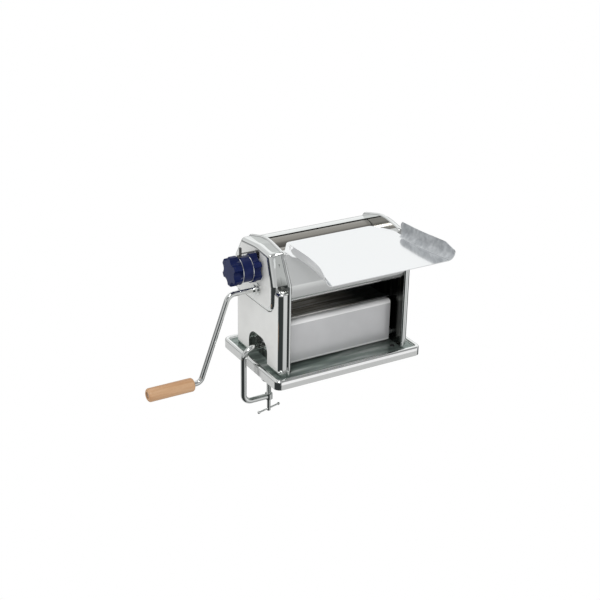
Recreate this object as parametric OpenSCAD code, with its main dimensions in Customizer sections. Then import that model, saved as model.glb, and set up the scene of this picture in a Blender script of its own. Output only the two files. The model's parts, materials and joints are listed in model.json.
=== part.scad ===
// Manual pasta roller machine: two side frames on a pressed base, a fixed rear roller, a
// front roller that slides to set the sheet's thickness, a geared crank on the left,
// a lift-off feed tray and a screw clamp for the table edge.
// Origin: middle of the base's underside. X right, Y back, Z up, in millimetres.

/* [Base] */
// Width of the base, left to right
base_w = 285; // [280:1:330]
// Depth of the base, front to back
base_d = 193.5; // [188:0.5:230]
// Height of the base's rim above the table
base_h = 18; // [14:0.5:24]
// Radius of the base's corners in plan
base_r = 12; // [9:0.5:20]
// Width of the raised rim around the base
rim_w = 7; // [6:0.5:8.5]
// Depth of the base's deck below the rim
rim_drop = 3.5; // [2:0.5:5]
// Thickness of the pressed steel base
base_t = 1.6; // [1.2:0.1:2]
// Diameter of a rubber foot
foot_d = 24; // [16:1:30]

/* [Frames and covers] */
// Distance between the inner faces of the side frames
inner_w = 218.5; // [205:0.5:222]
// Sideways offset of the body's middle from the base's middle
body_x = 0.75; // [-4:0.25:4]
// Thickness of a side frame
frame_t = 6; // [5:0.5:8]
// Front edge of the side frames, from the middle of the base
frame_front = 82; // [78:1:86]
// Rear edge of the side frames, from the middle of the base
frame_rear = 76.5; // [74:0.5:84]
// Drop from the rollers' axes to the crease where the front edge leans back
crease_drop = 13; // [8:1:20]
// Rise of the side frames' top above the rollers' axes
frame_rise = 45; // [42:1:56]
// Radius of the rounded edges of the side frames
frame_edge = 2.6; // [1.5:0.1:2.8]
// Depth of the gear cover on the left
left_depth = 17; // [16.8:0.1:19]
// Depth of the cover on the right
right_depth = 9; // [8:0.5:14]
// Height by which the gear cover's boss stands out
boss_rise = 3.5; // [2:0.5:3.5]
// Step from a side frame's edge to its cover's edge
cover_inset = 3; // [2:0.5:4]
// Radius of the covers' rounded edges
cover_edge = 8; // [4:0.5:8]
// Sheet thickness of the covers
cover_wall = 1.6; // [1.2:0.1:2]
// Half width of the arched niche for the table clamp
niche_r = 32; // [30:0.5:36]
// Height of the niche above the deck
niche_rise = 47.5; // [40:0.5:50]
// Radius of the niche's upper corners
niche_corner = 22; // [10:1:28]
// Middle of the niche and the clamp, from the middle of the base
niche_y = -5; // [-8:0.5:0]
// Sheet thickness of the guards, the front panel and the slide
sheet_t = 1.5; // [1:0.1:2]

/* [Rollers] */
// Diameter of the two rollers
roller_d = 45; // [43:0.1:45.6]
// Gap between the rollers at the thinnest setting
gap_min = 0.5; // [0.3:0.1:0.8]
// Travel of the front roller from the thinnest to the thickest setting
gap_travel = 4.5; // [3:0.1:4.5]
// Height of the rollers' axes
roller_z = 188; // [186:0.5:190]
// Front roller's axis, from the middle of the base
front_roller_y = -9.8; // [-12:0.1:-8]
// Diameter of the rollers' journals
journal_d = 16; // [14:0.5:17]
// End clearance between a roller and a frame
roller_end = 0.75; // [0.4:0.05:1.2]
// Wall of the bronze bushes
bush_wall = 3; // [2:0.25:3.5]

/* [Gears] */
// Teeth of each roller gear
roller_teeth = 20; // [19:1:20]
// Width of the roller gears
roller_gear_w = 5.6; // [4:0.1:5.6]
// Module of the crank's gear train
drive_module = 1.5; // [1.4:0.01:1.5]
// Teeth of the crank pinion
pinion_teeth = 18; // [17:1:18]
// Teeth of the idler
idler_teeth = 17; // [17:1:18]
// Teeth of the rear roller's drive gear
drive_teeth = 32; // [30:1:32]
// Width of the crank train's gears
drive_gear_w = 4; // [3.6:0.1:4]

/* [Crank] */
// Drop from the rollers' axes to the crank's axis
crank_drop = 40; // [39.5:0.25:41]
// Diameter of the crank rod
crank_d = 9; // [8:0.5:10]
// Radius that the handle swings on
crank_radius = 146; // [120:0.5:170]
// Length of the crank's stub before it bends down
crank_stub = 44.5; // [44:0.5:60]
// Outward lean of the crank arm, from its top bend to its bottom bend
crank_lean = 53; // [50:1:90]
// Diameter of the wooden handle
handle_d = 23; // [18:0.5:30]
// Length of the wooden handle
handle_l = 82; // [60:1:100]

/* [Thickness knob] */
// Diameter over the knob's lobes
knob_d = 50; // [46:0.5:50]
// Number of lobes
knob_lobes = 6; // [5:1:8]
// Length of the knob's outer part
knob_outer_l = 15; // [13:0.5:15]
// Length of the knob's middle drum
knob_drum_l = 18; // [15:0.5:18]
// Length of the knob's inner star
knob_inner_l = 14.5; // [12:0.5:14.5]
// Diameter of the middle drum
drum_d = 43; // [38:0.5:44]
// Thickness of each light ring between the knob's parts
ring_t = 0.9; // [0.6:0.1:1.5]
// Gap between the knob and the gear cover
knob_gap = 3.5; // [3.3:0.1:3.6]
// Pull that frees the knob from its notch
knob_pull = 3; // [2:0.1:3]
// Turn of the knob from the thinnest to the thickest setting, in degrees
knob_turn = 300; // [240:10:300]
// Diameter of the knob's spindle
spindle_d = 10; // [8:0.5:10]

/* [Feed tray] */
// Rise of the tray's underside above the rollers' axes
tray_rise = 32.8; // [32:0.1:35]
// Thickness of the tray
tray_t = 1.2; // [1:0.1:1.6]
// Rear edge of the tray, from the middle of the base
tray_rear = -14.8; // [-20:0.1:-10]
// Front edge of the tray, from the middle of the base
tray_front = -201; // [-220:1:-180]
// Width of the tray's floor at its rear edge
tray_rear_w = 162; // [120:1:180]
// Width of the tray where its wings begin
tray_mid_w = 207; // [200:1:209]
// Width of the tray across its front corners
tray_front_w = 234; // [215:1:240]
// Height of the tray's wings
wing_h = 24; // [15:1:35]
// Outward lean of the tray's wings
wing_lean = 14; // [8:1:18]

/* [Clamp] */
// Diameter of the clamp's bent rod
clamp_d = 10; // [8:0.25:10.5]
// Height of the clamp's upper leg
clamp_z = 40; // [36:0.5:44]
// Distance of the clamp's vertical leg from the gear cover
clamp_out = 23.5; // [18:0.5:30]
// Drop of the lower leg below the base's underside
clamp_drop = 59; // [54:1:80]
// Length of the lower leg, to the middle of its screw
clamp_reach = 48.5; // [40:0.5:60]
// Diameter of the clamp screw
screw_d = 8; // [6:0.5:9]
// Length of the clamp's cross bar
bar_l = 46; // [36:1:60]
// Thread pitch of the clamp screw
screw_pitch = 1.5; // [1:0.25:2]

/* [Fits] */
// Radial clearance of a running fit
run_fit = 0.05; // [0.03:0.01:0.08]
// Side clearance of a sliding fit
slide_fit = 0.15; // [0.05:0.01:0.25]
// Clearance between parts that move past each other
clear = 0.3; // [0.25:0.05:0.4]

/* [Hidden] */
$fn = 64;

// Heights and faces that the parts share
deck_z = base_h - rim_drop;
crease_z = roller_z - crease_drop;
frame_top = roller_z + frame_rise;
tray_z = roller_z + tray_rise;
crank_z = roller_z - crank_drop;
face_l = body_x - inner_w / 2;
face_r = body_x + inner_w / 2;
seam_l = face_l - frame_t;
seam_r = face_r + frame_t;
cover_l = seam_l - left_depth;
cover_r = seam_r + right_depth;
centre_gap = roller_d + gap_min;
rear_roller_y = front_roller_y + centre_gap;
roller_l = inner_w - 2 * roller_end;
bush_r = journal_d / 2 + run_fit + bush_wall;

// Gear planes, outward from the left frame
plane_a = seam_l - 1;
plane_b = plane_a - roller_gear_w - 0.7;
cover_inner = cover_l + cover_wall;
roller_module = centre_gap / roller_teeth;

// Colours
STEEL = [0.83, 0.84, 0.85];
SATIN = [0.70, 0.71, 0.72];
DARK = [0.30, 0.30, 0.32];
BRONZE = [0.72, 0.52, 0.28];
BLUE = [0.07, 0.10, 0.30];
WOOD = [0.85, 0.64, 0.42];
RUBBER = [0.08, 0.08, 0.08];

// ---- Plane geometry ----
function unit(v) = v / norm(v);
function left_of(v) = [-v[1], v[0]];
function cross2(a, b) = a[0] * b[1] - a[1] * b[0];
function at(list, i) = list[(i + len(list)) % len(list)];
function xy(c) = [c[0], c[1]];

// A corner [y, z, radius] of a closed outline, moved inwards by d with its neighbours
function inset_corner(a, p, b, d) =
    let (n1 = left_of(unit(xy(p) - xy(a))), n2 = left_of(unit(xy(b) - xy(p))),
         q = xy(p) + (n1 + n2) / (1 + n1 * n2) * d,
         turn = cross2(xy(p) - xy(a), xy(b) - xy(p)))
    [q[0], q[1], turn > 0 ? max(p[2] - d, 0.3) : p[2] + d];
function inset(cs, d) = [for (i = [0:len(cs) - 1]) inset_corner(at(cs, i - 1), cs[i], at(cs, i + 1), d)];

// The points of one rounded corner, in n steps
function round_corner(a, p, b, n) =
    let (u = unit(xy(a) - xy(p)), v = unit(xy(b) - xy(p)), half = acos(u * v) / 2,
         c = xy(p) + unit(u + v) * p[2] / sin(half), s = xy(p) + u * p[2] / tan(half) - c,
         sweep = (180 - 2 * half) * (cross2(u, v) < 0 ? 1 : -1), a0 = atan2(s[1], s[0]))
    [for (i = [0:n]) c + p[2] * [cos(a0 + sweep * i / n), sin(a0 + sweep * i / n)]];
function outline(cs, n = 6) =
    [for (i = [0:len(cs) - 1]) each round_corner(at(cs, i - 1), cs[i], at(cs, i + 1), n)];

// An open path of [y, z, radius] points, its inner corners rounded
function path_points(cs, n = 6) = [for (i = [0:len(cs) - 1])
    each (i == 0 || i == len(cs) - 1 ? [xy(cs[i])] : round_corner(cs[i - 1], cs[i], cs[i + 1], n))];
function path_normal(p, i) =
    let (n1 = left_of(unit(p[max(i, 1)] - p[max(i, 1) - 1])),
         k = min(i, len(p) - 2), n2 = left_of(unit(p[k + 1] - p[k])))
    (n1 + n2) / (1 + n1 * n2);
// A sheet of thickness t that follows a path on its left side
function sheet_outline(p, t) = concat(p, [for (i = [len(p) - 1:-1:0]) p[i] + path_normal(p, i) * t]);

// ---- Solids from outlines ----
// Draws a (y, z) shape's solid along +X from x
module side(x) {
    translate([x, 0, 0]) rotate([90, 0, 90]) children();
}
// A round bar along +X
module bar_x(x, y, z, d, l) {
    translate([x, y, z]) rotate([0, 90, 0]) cylinder(d = d, h = l);
}
// A closed solid through rings of equally many points
module loft(rings) {
    n = len(rings[0]);
    m = len(rings);
    polyhedron(
        points = [for (r = rings) each r],
        faces = concat(
            [[for (i = [0:n - 1]) i]],
            [for (k = [0:m - 2]) for (i = [0:n - 1])
                [k * n + i, (k + 1) * n + i, (k + 1) * n + (i + 1) % n, k * n + (i + 1) % n]],
            [[for (i = [n - 1:-1:0]) (m - 1) * n + i]]));
}
// A slab from height z0 to z1, whose upper edge is rounded by e, and its lower edge by low
module rounded_slab(cs, z0, z1, e, low = 0, steps = 5) {
    levels = concat(
        [for (k = [low > 0 ? steps : 0:-1:0])
            [z0 + low - low * sin(90 * k / steps), low * (1 - cos(90 * k / steps))]],
        [for (k = [0:steps]) [z1 - e + e * sin(90 * k / steps), e * (1 - cos(90 * k / steps))]]);
    loft([for (l = levels) [for (p = outline(inset(cs, l[1]))) [p[0], p[1], l[0]]]]);
}
// A round rod of diameter d along a plane path, with a bend radius at each corner
module bent_rod(path, d, bends) {
    last = len(path) - 1;
    turns = [for (i = [0:last]) i == 0 || i == last ? 0 :
        atan2(cross2(path[i] - path[i - 1], path[i + 1] - path[i]),
              (path[i] - path[i - 1]) * (path[i + 1] - path[i]))];
    cut = [for (i = [0:last]) bends[i] * tan(abs(turns[i]) / 2)];
    for (i = [0:last - 1]) {
        u = unit(path[i + 1] - path[i]);
        lap = 0.3;
        a = path[i] + u * (cut[i] - (i > 0 ? lap : 0));
        l = norm(path[i + 1] - path[i]) - cut[i] - cut[i + 1] + (i > 0 ? lap : 0) + (i < last - 1 ? lap : 0);
        translate([a[0], a[1], 0]) rotate([0, 0, atan2(u[1], u[0])]) rotate([0, 90, 0])
            cylinder(d = d, h = l);
    }
    for (i = [1:last - 1]) {
        u = unit(path[i] - path[i - 1]);
        v = unit(path[i + 1] - path[i]);
        s = turns[i] > 0 ? 1 : -1;
        c = path[i] - u * cut[i] + left_of(u) * bends[i] * s;
        first = s > 0 ? path[i] - u * cut[i] - c : path[i] + v * cut[i] - c;
        translate([c[0], c[1], 0]) rotate([0, 0, atan2(first[1], first[0])])
            rotate_extrude(angle = abs(turns[i])) translate([bends[i], 0]) circle(d = d + 0.04, $fn = 32);
    }
}
// Stands a plane path's solid up in the XZ plane at y
module upright(y) {
    translate([0, y, 0]) rotate([90, 0, 0]) children();
}

// ---- Gears ----
BACKLASH = 0.12;
PRESSURE = 20;
function inv(a) = tan(a) - a * PI / 180;
// Half the angle that a tooth covers at radius q
function tooth_half(n, m, q) =
    let (rb = n * m / 2 * cos(PRESSURE), a = acos(min(1, rb / max(q, rb))))
    (90 / n) - BACKLASH / (n * m) * 180 / PI + (inv(PRESSURE) - inv(a)) * 180 / PI;
// One tooth's outline from its root to its tip and back, centred on angle 0
function tooth(n, m, add, ded, steps = 4) =
    let (r0 = n * m / 2 - ded, r1 = n * m / 2 + add, rb = n * m / 2 * cos(PRESSURE), s = max(rb, r0),
         up = concat(r0 < rb ? [r0] : [], [for (k = [0:steps]) s + (r1 - s) * k / steps]))
    concat([for (q = up) q * [cos(-tooth_half(n, m, q)), sin(-tooth_half(n, m, q))]],
           [for (k = [len(up) - 1:-1:0])
               up[k] * [cos(tooth_half(n, m, up[k])), sin(tooth_half(n, m, up[k]))]]);
function turned(p, a) = [p[0] * cos(a) - p[1] * sin(a), p[0] * sin(a) + p[1] * cos(a)];
module gear(n, m, w, bore, phase, add, ded) {
    difference() {
        linear_extrude(w) polygon([for (i = [0:n - 1]) each
            [for (p = tooth(n, m, add, ded)) turned(p, phase + i * 360 / n)]]);
        translate([0, 0, -1]) cylinder(d = bore, h = w + 2);
    }
}
// Phase that puts gear 2 in mesh with gear 1, where theta is the direction from 1 to 2
function mesh_phase(phase1, n1, theta, n2) = theta + 180 - (0.5 - (theta - phase1) * n1 / 360) * 360 / n2;

// Centres of the crank train, in (y, z)
crank_c = [front_roller_y, crank_z];
front_c = [front_roller_y, roller_z];
rear_c = [rear_roller_y, roller_z];
pinion_reach = (pinion_teeth + idler_teeth) * drive_module / 2 + 0.05;
drive_reach = (idler_teeth + drive_teeth) * drive_module / 2 + 0.05;
crank_to_rear = norm(rear_c - crank_c);
idler_along = (pow(pinion_reach, 2) - pow(drive_reach, 2) + pow(crank_to_rear, 2)) / (2 * crank_to_rear);
idler_off = sqrt(max(pow(pinion_reach, 2) - pow(idler_along, 2), 0));
train_u = unit(rear_c - crank_c);
idler_c = crank_c + train_u * idler_along - left_of(train_u) * idler_off;
function heading(a, b) = atan2(b[1] - a[1], b[0] - a[0]);
idler_phase = mesh_phase(0, drive_teeth, heading(rear_c, idler_c), idler_teeth);
pinion_phase = mesh_phase(idler_phase, idler_teeth, heading(idler_c, crank_c), pinion_teeth);
rear_phase = mesh_phase(0, roller_teeth, 0, roller_teeth);

// ---- Outlines of the frames and covers, as [y, z, radius] ----
front_lean = 27;
top_drop_front = 7;
rear_crease_z = crease_z + 8;
frame_cs = [
    [-frame_front, deck_z, 0.5], [frame_rear, deck_z, 0.5], [frame_rear, rear_crease_z, 10],
    [frame_rear - 24, frame_top - 14, 14], [-4, frame_top + 1.5, 90],
    [-frame_front + front_lean, frame_top - top_drop_front, 10], [-frame_front, crease_z, 6]
];
cover_front = -frame_front + cover_inset;
cover_rear = frame_rear - cover_inset;
ledge_z = crease_z - 12;
boss_front = -frame_front + 21.5;
boss_bottom = 118;
lower_cs = [
    [cover_front, deck_z, 0.5], [cover_rear, deck_z, 0.5], [cover_rear, boss_bottom + 20, 4],
    [-frame_front / 2, ledge_z, 4], [cover_front, ledge_z, 5]
];
boss_cs = [
    [boss_front, boss_bottom, 24], [cover_rear + 0.4, boss_bottom, 1],
    [cover_rear + 0.4, rear_crease_z - 2, 9], [frame_rear - 26, frame_top - 15.5, 10],
    [-4, frame_top - 9.5, 90], [boss_front + 16, frame_top - 12.5, 8], [boss_front, crease_z - 7, 10]
];
right_cs = inset(frame_cs, cover_inset);

// Slots in both frames for the sliding bearing blocks, in (y, z)
block_h = 2 * bush_r + 8;
block_rear = front_roller_y + bush_r + 3;
tie_bar_d = 8;
tie_bar_y = front_roller_y - roller_d / 2 - tie_bar_d / 2 - 3.5;
block_front = tie_bar_y - tie_bar_d / 2 - 3;
slot_front = block_front - gap_travel - clear;

// Places of the tie rods and of the screws in the frames' feet, as [y, z]
tie_spots = [[-47.5, 34], [60, 30], [66, 148]];
tie_d = 10;
tie_bolt_d = 5;
tie_head_d = 9;
tie_head_h = 2.6;
foot_screws = [-34, 38];
foot_screw_d = 3.6;
foot_screw_deep = 12;
socket_l = 30;
socket_d = clamp_d + 7;

module frame(mirrored) {
    inner = mirrored ? 1 : 0;
    difference() {
        rounded_slab(frame_cs, 0, frame_t, frame_edge, frame_edge);
        translate([rear_roller_y, roller_z, -1]) cylinder(r = bush_r, h = frame_t + 2);
        translate([slot_front, roller_z - block_h / 2 - slide_fit, -1])
            cube([block_rear + slide_fit - slot_front, block_h + 2 * slide_fit, frame_t + 2]);
        for (s = tie_spots) translate([s[0], s[1], -1]) cylinder(d = tie_bolt_d, h = frame_t + 2);
        for (y = foot_screws) translate([y, deck_z - 1, frame_t / 2]) rotate([-90, 0, 0])
            cylinder(d = foot_screw_d, h = foot_screw_deep + 1);
        if (inner == 1) translate([niche_y, clamp_z, -1]) cylinder(d = socket_d, h = frame_t + 2);
        if (inner == 1) translate([idler_c[0], idler_c[1], -1]) cylinder(d = 8, h = frame_t + 2);
        if (inner == 1) translate([crank_c[0], crank_c[1], -1]) cylinder(d = crank_bush_d, h = frame_t + 2);
    }
}
module left_frame() {
    color(STEEL) side(seam_l) frame(true);
}
module right_frame() {
    color(STEEL) translate([seam_r, 0, 0]) mirror([1, 0, 0]) side(0) frame(false);
}

// ---- Base ----
foot_stand = 1.5;
foot_x = inner_w / 2 - 7;
foot_y = base_d / 2 - 31;
foot_spots = [[0, 0], [-foot_x, -foot_y], [foot_x, -foot_y], [-foot_x, foot_y], [foot_x, foot_y]];
module rim_profile() {
    p = path_points([[0, foot_stand, 0], [0, base_h, rim_w * 0.55], [rim_w, base_h, rim_drop * 0.6],
                     [rim_w, deck_z, rim_drop * 0.3], [rim_w + 2.5, deck_z, 0]], 6);
    polygon(sheet_outline([for (i = [len(p) - 1:-1:0]) p[i]], base_t));
}
module rim_run(x, y, a, l) {
    translate([x, y, 0]) rotate([0, 0, a]) rotate([90, 0, 0]) linear_extrude(l) rim_profile();
}
module base_plate() {
    w = base_w / 2;
    d = base_d / 2;
    deck_inset = rim_w + 2;
    color(STEEL) difference() {
        union() {
            rim_run(-w, d - base_r, 0, base_d - 2 * base_r);
            rim_run(w - base_r, d, -90, base_w - 2 * base_r);
            rim_run(w, -d + base_r, 180, base_d - 2 * base_r);
            rim_run(-w + base_r, -d, 90, base_w - 2 * base_r);
            for (c = [[1, 1, 0], [-1, 1, 90], [-1, -1, 180], [1, -1, 270]])
                translate([c[0] * (w - base_r), c[1] * (d - base_r), 0]) rotate([0, 0, c[2]])
                    rotate_extrude(angle = 90) translate([base_r, 0]) mirror([1, 0]) rim_profile();
            translate([-w + deck_inset, -d + base_r, deck_z - base_t])
                cube([base_w - 2 * deck_inset, base_d - 2 * base_r, base_t]);
            translate([-w + base_r, -d + deck_inset, deck_z - base_t])
                cube([base_w - 2 * base_r, base_d - 2 * deck_inset, base_t]);
        }
        for (x = [seam_l + frame_t / 2, seam_r - frame_t / 2]) for (y = foot_screws)
            translate([x, y, 0]) cylinder(d = foot_screw_d, h = base_h);
        for (p = foot_spots) translate([p[0], p[1], 0]) cylinder(d = 5, h = base_h);
    }
}
module rubber_feet() {
    color(RUBBER) for (p = foot_spots) translate([p[0], p[1], 0]) {
        cylinder(d1 = foot_d - 4, d2 = foot_d, h = 2);
        translate([0, 0, 2]) cylinder(d = foot_d, h = deck_z - base_t - 2);
        translate([0, 0, deck_z - base_t]) cylinder(d = 5, h = base_t);
        translate([0, 0, deck_z]) cylinder(d1 = 8, d2 = 5, h = 2);
    }
}

// ---- Covers ----
crank_bush_d = crank_d + 2 * run_fit + 6;
knob_bush_d = spindle_d + 2 * run_fit + 5;
// Screws that hold the right cover to its frame, as [y, z]
cover_spots = [[-64, 40], [60, 40], [20, 212]];
// Arched space for the table clamp, as a prism in the cover's own frame, grown by more
module niche(more, x0, x1) {
    half = niche_r + more;
    low = deck_z - 1;
    top = deck_z + niche_rise + more;
    corner = niche_corner + more;
    sharp = 0.3;
    arch = [[niche_y - half, low, sharp], [niche_y + half, low, sharp],
            [niche_y + half, top, corner], [niche_y - half, top, corner]];
    translate([0, 0, x0]) linear_extrude(x1 - x0) polygon(outline(arch));
}

// The cover on the left: a lower shell, and a deeper one over the gears, the knob and the crank
cover_low = left_depth - boss_rise;
module on_left() {
    translate([seam_l, 0, 0]) mirror([1, 0, 0]) side(0) children();
}
// The space inside a cover, in steps that follow its rounded edge
module cavity(cs, depth) {
    r = cover_edge - cover_wall;
    spare = 0.3;
    for (a = [0, 27, 45, 65, 90]) translate([0, 0, -1])
        linear_extrude(depth - cover_edge + r * sin(a) + 1)
            polygon(outline(inset(cs, cover_edge - r * cos(a) + spare)));
}
module left_cover() {
    color(STEEL) on_left() difference() {
        rounded_slab(lower_cs, 0, cover_low, cover_edge);
        difference() {
            cavity(lower_cs, cover_low);
            niche(cover_wall, -2, left_depth);
        }
        niche(0, -3, left_depth);
        translate([0, 0, -1]) linear_extrude(left_depth) polygon(outline(boss_cs));
    }
}
module gear_cover() {
    color(STEEL) on_left() difference() {
        rounded_slab(boss_cs, 0, left_depth, cover_edge);
        cavity(boss_cs, left_depth);
        translate([crank_c[0], crank_c[1], 0]) cylinder(d = crank_bush_d, h = left_depth + 2);
        translate([front_c[0], front_c[1], 0]) cylinder(d = knob_bush_d, h = left_depth + 2);
        translate([index_c[0], index_c[1], 0]) cylinder(d = index_d, h = left_depth + 2);
        for (p = pointer_rivets) translate([p[0], p[1], 0]) cylinder(d = 2.4, h = left_depth + 2);
    }
}
module right_cover() {
    color(STEEL) side(seam_r) difference() {
        rounded_slab(right_cs, 0, right_depth, cover_edge);
        cavity(right_cs, right_depth);
        translate([-frame_front, 0, -1]) cube([frame_front * 2, deck_z, right_depth + 2]);
        for (s = cover_spots) translate([s[0], s[1], 0]) cylinder(d = 3, h = right_depth + 2);
    }
}

// ---- Guards, panels and slide between the frames ----
guard_top = tray_z - clear;
panel_y = -54.8;
panel_top = 99;
panel_bottom = deck_z + 5;
panel_slope = 10.5;
panel_edge = 7;
panel_end_gap = 8;
hem_z = 137.5;
hem_roll = 29;
lip_depth = 26;
guard_rear = -40;
slide_rear = [62, 130];
slide_low = [30, 90.5];
function panel_height(y) = panel_top - (y - panel_y) * tan(panel_slope);
module sheet(path, t) {
    translate([face_l, 0, 0]) side(0) linear_extrude(inner_w) polygon(sheet_outline(path_points(path), t));
}
module front_guard() {
    f = -frame_front + 0.5;
    hem_d = 3.4;
    color(STEEL) {
        sheet([[guard_rear, guard_top, 0], [f + lip_depth, guard_top, 1.8], [f, crease_z, 5],
               [f, hem_z, hem_roll], [f + hem_roll + 1, hem_z, 0]], sheet_t);
        bar_x(face_l, f + hem_roll + 2.2, hem_z + 1.2, hem_d, inner_w);
    }
}
module rear_guard() {
    r = frame_rear - 1;
    roll = 12;
    lip = [rear_c[0] + 6.5, rear_c[1] + roller_d / 2 + 0.7];
    color(STEEL) sheet([[r, deck_z, 0], [r, rear_crease_z, 6],
                        [r - 22, frame_top - 15, roll], [lip[0], lip[1], 0]], sheet_t);
}
module front_panel() {
    corner = 8;
    w = inner_w - 2 * panel_end_gap;
    front = [[0, panel_bottom - 1, 1], [w, panel_bottom - 1, 1],
             [w, panel_top + 6, corner], [0, panel_top + 6, corner]];
    color(STEEL) intersection() {
        sheet([[-30, panel_height(-30), 0], [panel_y, panel_top, panel_edge],
               [panel_y, panel_bottom, panel_edge], [-36, panel_bottom, 0]], sheet_t);
        translate([face_l + panel_end_gap, 0, 0]) rotate([90, 0, 0])
            linear_extrude(base_d, center = true) polygon(outline(front));
    }
}
module exit_slide() {
    lift = sheet_t / cos(panel_slope);
    color(STEEL) sheet([[slide_rear[0], slide_rear[1], 0], [slide_low[0], slide_low[1], 40],
                        [-12, panel_height(-12) + lift, 14], [-38, panel_height(-38) + lift, 0]], sheet_t);
}

// ---- Tie rods and screws ----
module tie_rods() {
    color(SATIN) for (s = tie_spots) difference() {
        bar_x(face_l, s[0], s[1], tie_d, inner_w);
        bar_x(face_l - 1, s[0], s[1], tie_bolt_d, 15);
        bar_x(face_r - 14, s[0], s[1], tie_bolt_d, 15);
    }
}
module tie_bolts() {
    color(SATIN) for (s = tie_spots) {
        bar_x(seam_l - tie_head_h, s[0], s[1], tie_head_d, tie_head_h);
        bar_x(seam_l, s[0], s[1], tie_bolt_d, frame_t + 14);
        bar_x(seam_r, s[0], s[1], tie_head_d, tie_head_h);
        bar_x(seam_r - frame_t - 14, s[0], s[1], tie_bolt_d, frame_t + 14);
    }
}
module base_screws() {
    middles = [seam_l + frame_t / 2, seam_r - frame_t / 2];
    color(SATIN) for (x = middles) for (y = foot_screws) translate([x, y, 0]) {
        translate([0, 0, deck_z - base_t - 2.4]) cylinder(d = 7, h = 2.4);
        translate([0, 0, deck_z - base_t]) cylinder(d = foot_screw_d, h = base_t + foot_screw_deep);
    }
}

// ---- Fixed bearings and pins ----
module tube_x(x, y, z, d, bore, l) {
    difference() {
        bar_x(x, y, z, d, l);
        bar_x(x - 1, y, z, bore, l + 2);
    }
}
module rear_bushes() {
    color(BRONZE) for (x = [seam_l, face_r])
        tube_x(x, rear_roller_y, roller_z, 2 * bush_r, journal_d + 2 * run_fit, frame_t);
}
module crank_bush() {
    lip = 1.5;
    bore = crank_d + 2 * run_fit;
    color(BRONZE) {
        tube_x(seam_l, crank_c[0], crank_c[1], crank_bush_d, bore, frame_t);
        tube_x(cover_l, crank_c[0], crank_c[1], crank_bush_d, bore, cover_wall);
        tube_x(cover_l - lip, crank_c[0], crank_c[1], crank_bush_d + 5, bore, lip);
    }
}
module knob_bush() {
    lip = 1.5;
    bore = spindle_d + 2 * run_fit;
    color(BRONZE) {
        tube_x(cover_l, front_c[0], front_c[1], knob_bush_d, bore, cover_wall);
        tube_x(cover_l - lip, front_c[0], front_c[1], knob_bush_d + 5, bore, lip);
    }
}
idler_pin_d = 8;
module idler_pin() {
    color(SATIN) {
        bar_x(plane_b - drive_gear_w - 0.2, idler_c[0], idler_c[1], idler_pin_d,
              face_l - plane_b + drive_gear_w + 0.2);
        bar_x(plane_b + 0.15, idler_c[0], idler_c[1], idler_pin_d + 5, seam_l - plane_b - 0.15);
    }
}
// Stop pin that locks the knob's star at each setting
index_r = 13.5;
index_d = 3.2;
index_c = [front_c[0], front_c[1] - index_r];
index_bite = knob_pull - 0.2;
module index_pin() {
    color(SATIN) bar_x(cover_l - knob_gap - index_bite, index_c[0], index_c[1], index_d,
                       cover_wall + knob_gap + index_bite);
}
pointer_z = front_c[1] + knob_d / 2 + 2;
pointer_rivets = [[front_c[0] - 3, pointer_z - 8], [front_c[0] + 3, pointer_z - 8]];
module dial_pointer() {
    reach = knob_gap + knob_inner_l + ring_t + knob_drum_l * 0.63;
    color(STEEL) {
        translate([cover_l - 1, front_c[0] - 6, pointer_z - 11]) cube([1, 12, 11]);
        translate([cover_l - reach, front_c[0] - 1.5, pointer_z]) cube([reach, 3, 1]);
        for (p = pointer_rivets) {
            bar_x(cover_l, p[0], p[1], 2.4, cover_wall);
            bar_x(cover_l - 1.9, p[0], p[1], 4, 0.9);
        }
    }
    color(DARK) translate([cover_l - reach - 3, front_c[0] - 2, 0]) {
        translate([0, 0, pointer_z - 4]) cube([3, 4, 15]);
        translate([-3.6, 0, pointer_z - 4]) cube([3.6, 4, 2.2]);
    }
}
module clamp_socket() {
    color(SATIN) difference() {
        union() {
            bar_x(seam_l, niche_y, clamp_z, socket_d, socket_l);
            bar_x(face_l, niche_y, clamp_z, socket_d + 6, 2.5);
        }
        bar_x(seam_l - 1, niche_y, clamp_z, clamp_d + 2 * run_fit, socket_l + 2);
    }
}
module cover_screws() {
    color(SATIN) {
        for (s = cover_spots) bar_x(cover_r - cover_wall, s[0], s[1], 3, cover_wall);
        for (s = cover_spots) translate([cover_r, s[0], s[1]]) rotate([0, 90, 0]) rotate_extrude()
            intersection() {
                translate([0, -4.2]) circle(r = 5.4);
                square([4, 2]);
            }
        for (s = cover_spots) bar_x(seam_r, s[0], s[1], 7, right_depth - cover_wall);
    }
}
module rear_scraper() {
    a = -35;
    touch = [rear_c[0] + (roller_d / 2 + clear) * cos(a), rear_c[1] + (roller_d / 2 + clear) * sin(a)];
    r = frame_rear - 1 - sheet_t;
    color(STEEL) sheet([[r, 158, 0], [r, touch[1] - 4, 1.5], [touch[0], touch[1], 0]], 1);
}

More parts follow.
